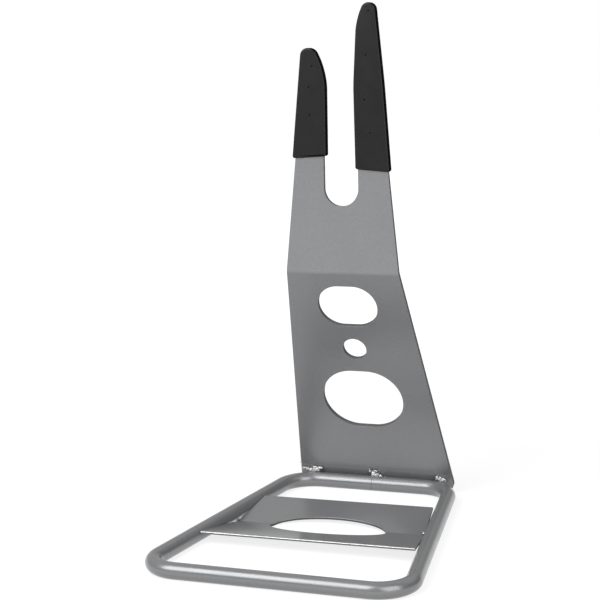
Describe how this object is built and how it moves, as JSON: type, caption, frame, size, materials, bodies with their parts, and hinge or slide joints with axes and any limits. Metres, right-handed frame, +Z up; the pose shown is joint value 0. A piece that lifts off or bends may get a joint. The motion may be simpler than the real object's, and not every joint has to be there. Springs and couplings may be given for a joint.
{
  "type": "floor bike stand",
  "caption": "Low tube loop with a folded sheet upright whose axle slot lies between two soft-sleeved prongs, and a shallow tyre cradle between the rails.",
  "frame": {"origin": "on the floor, in the middle of the stand's footprint", "axes": "+Z up, +Y to the back where the upright stands, +X to the right seen from the front, along the plane of the wheel that it holds"},
  "size_m": [0.2657, 0.3466, 0.5185],
  "materials": {
    "grey_paint": "glossy grey metallic paint, baked on",
    "painted_weld": "the same paint over a rough, lumpy bead",
    "black_sleeve": "soft black dipped coating, satin, with a few pinholes"
  },
  "bodies": {
    "root": {"base_loop": "grey_paint", "upright_plate": "grey_paint", "wheel_cradle": "grey_paint", "short_prong_sleeve": "black_sleeve", "tall_prong_sleeve": "black_sleeve", "weld_upright_left": "painted_weld", "weld_upright_middle": "painted_weld", "weld_upright_right": "painted_weld", "weld_cradle_left": "painted_weld", "weld_cradle_right": "painted_weld"}
  },
  "joints": []
}
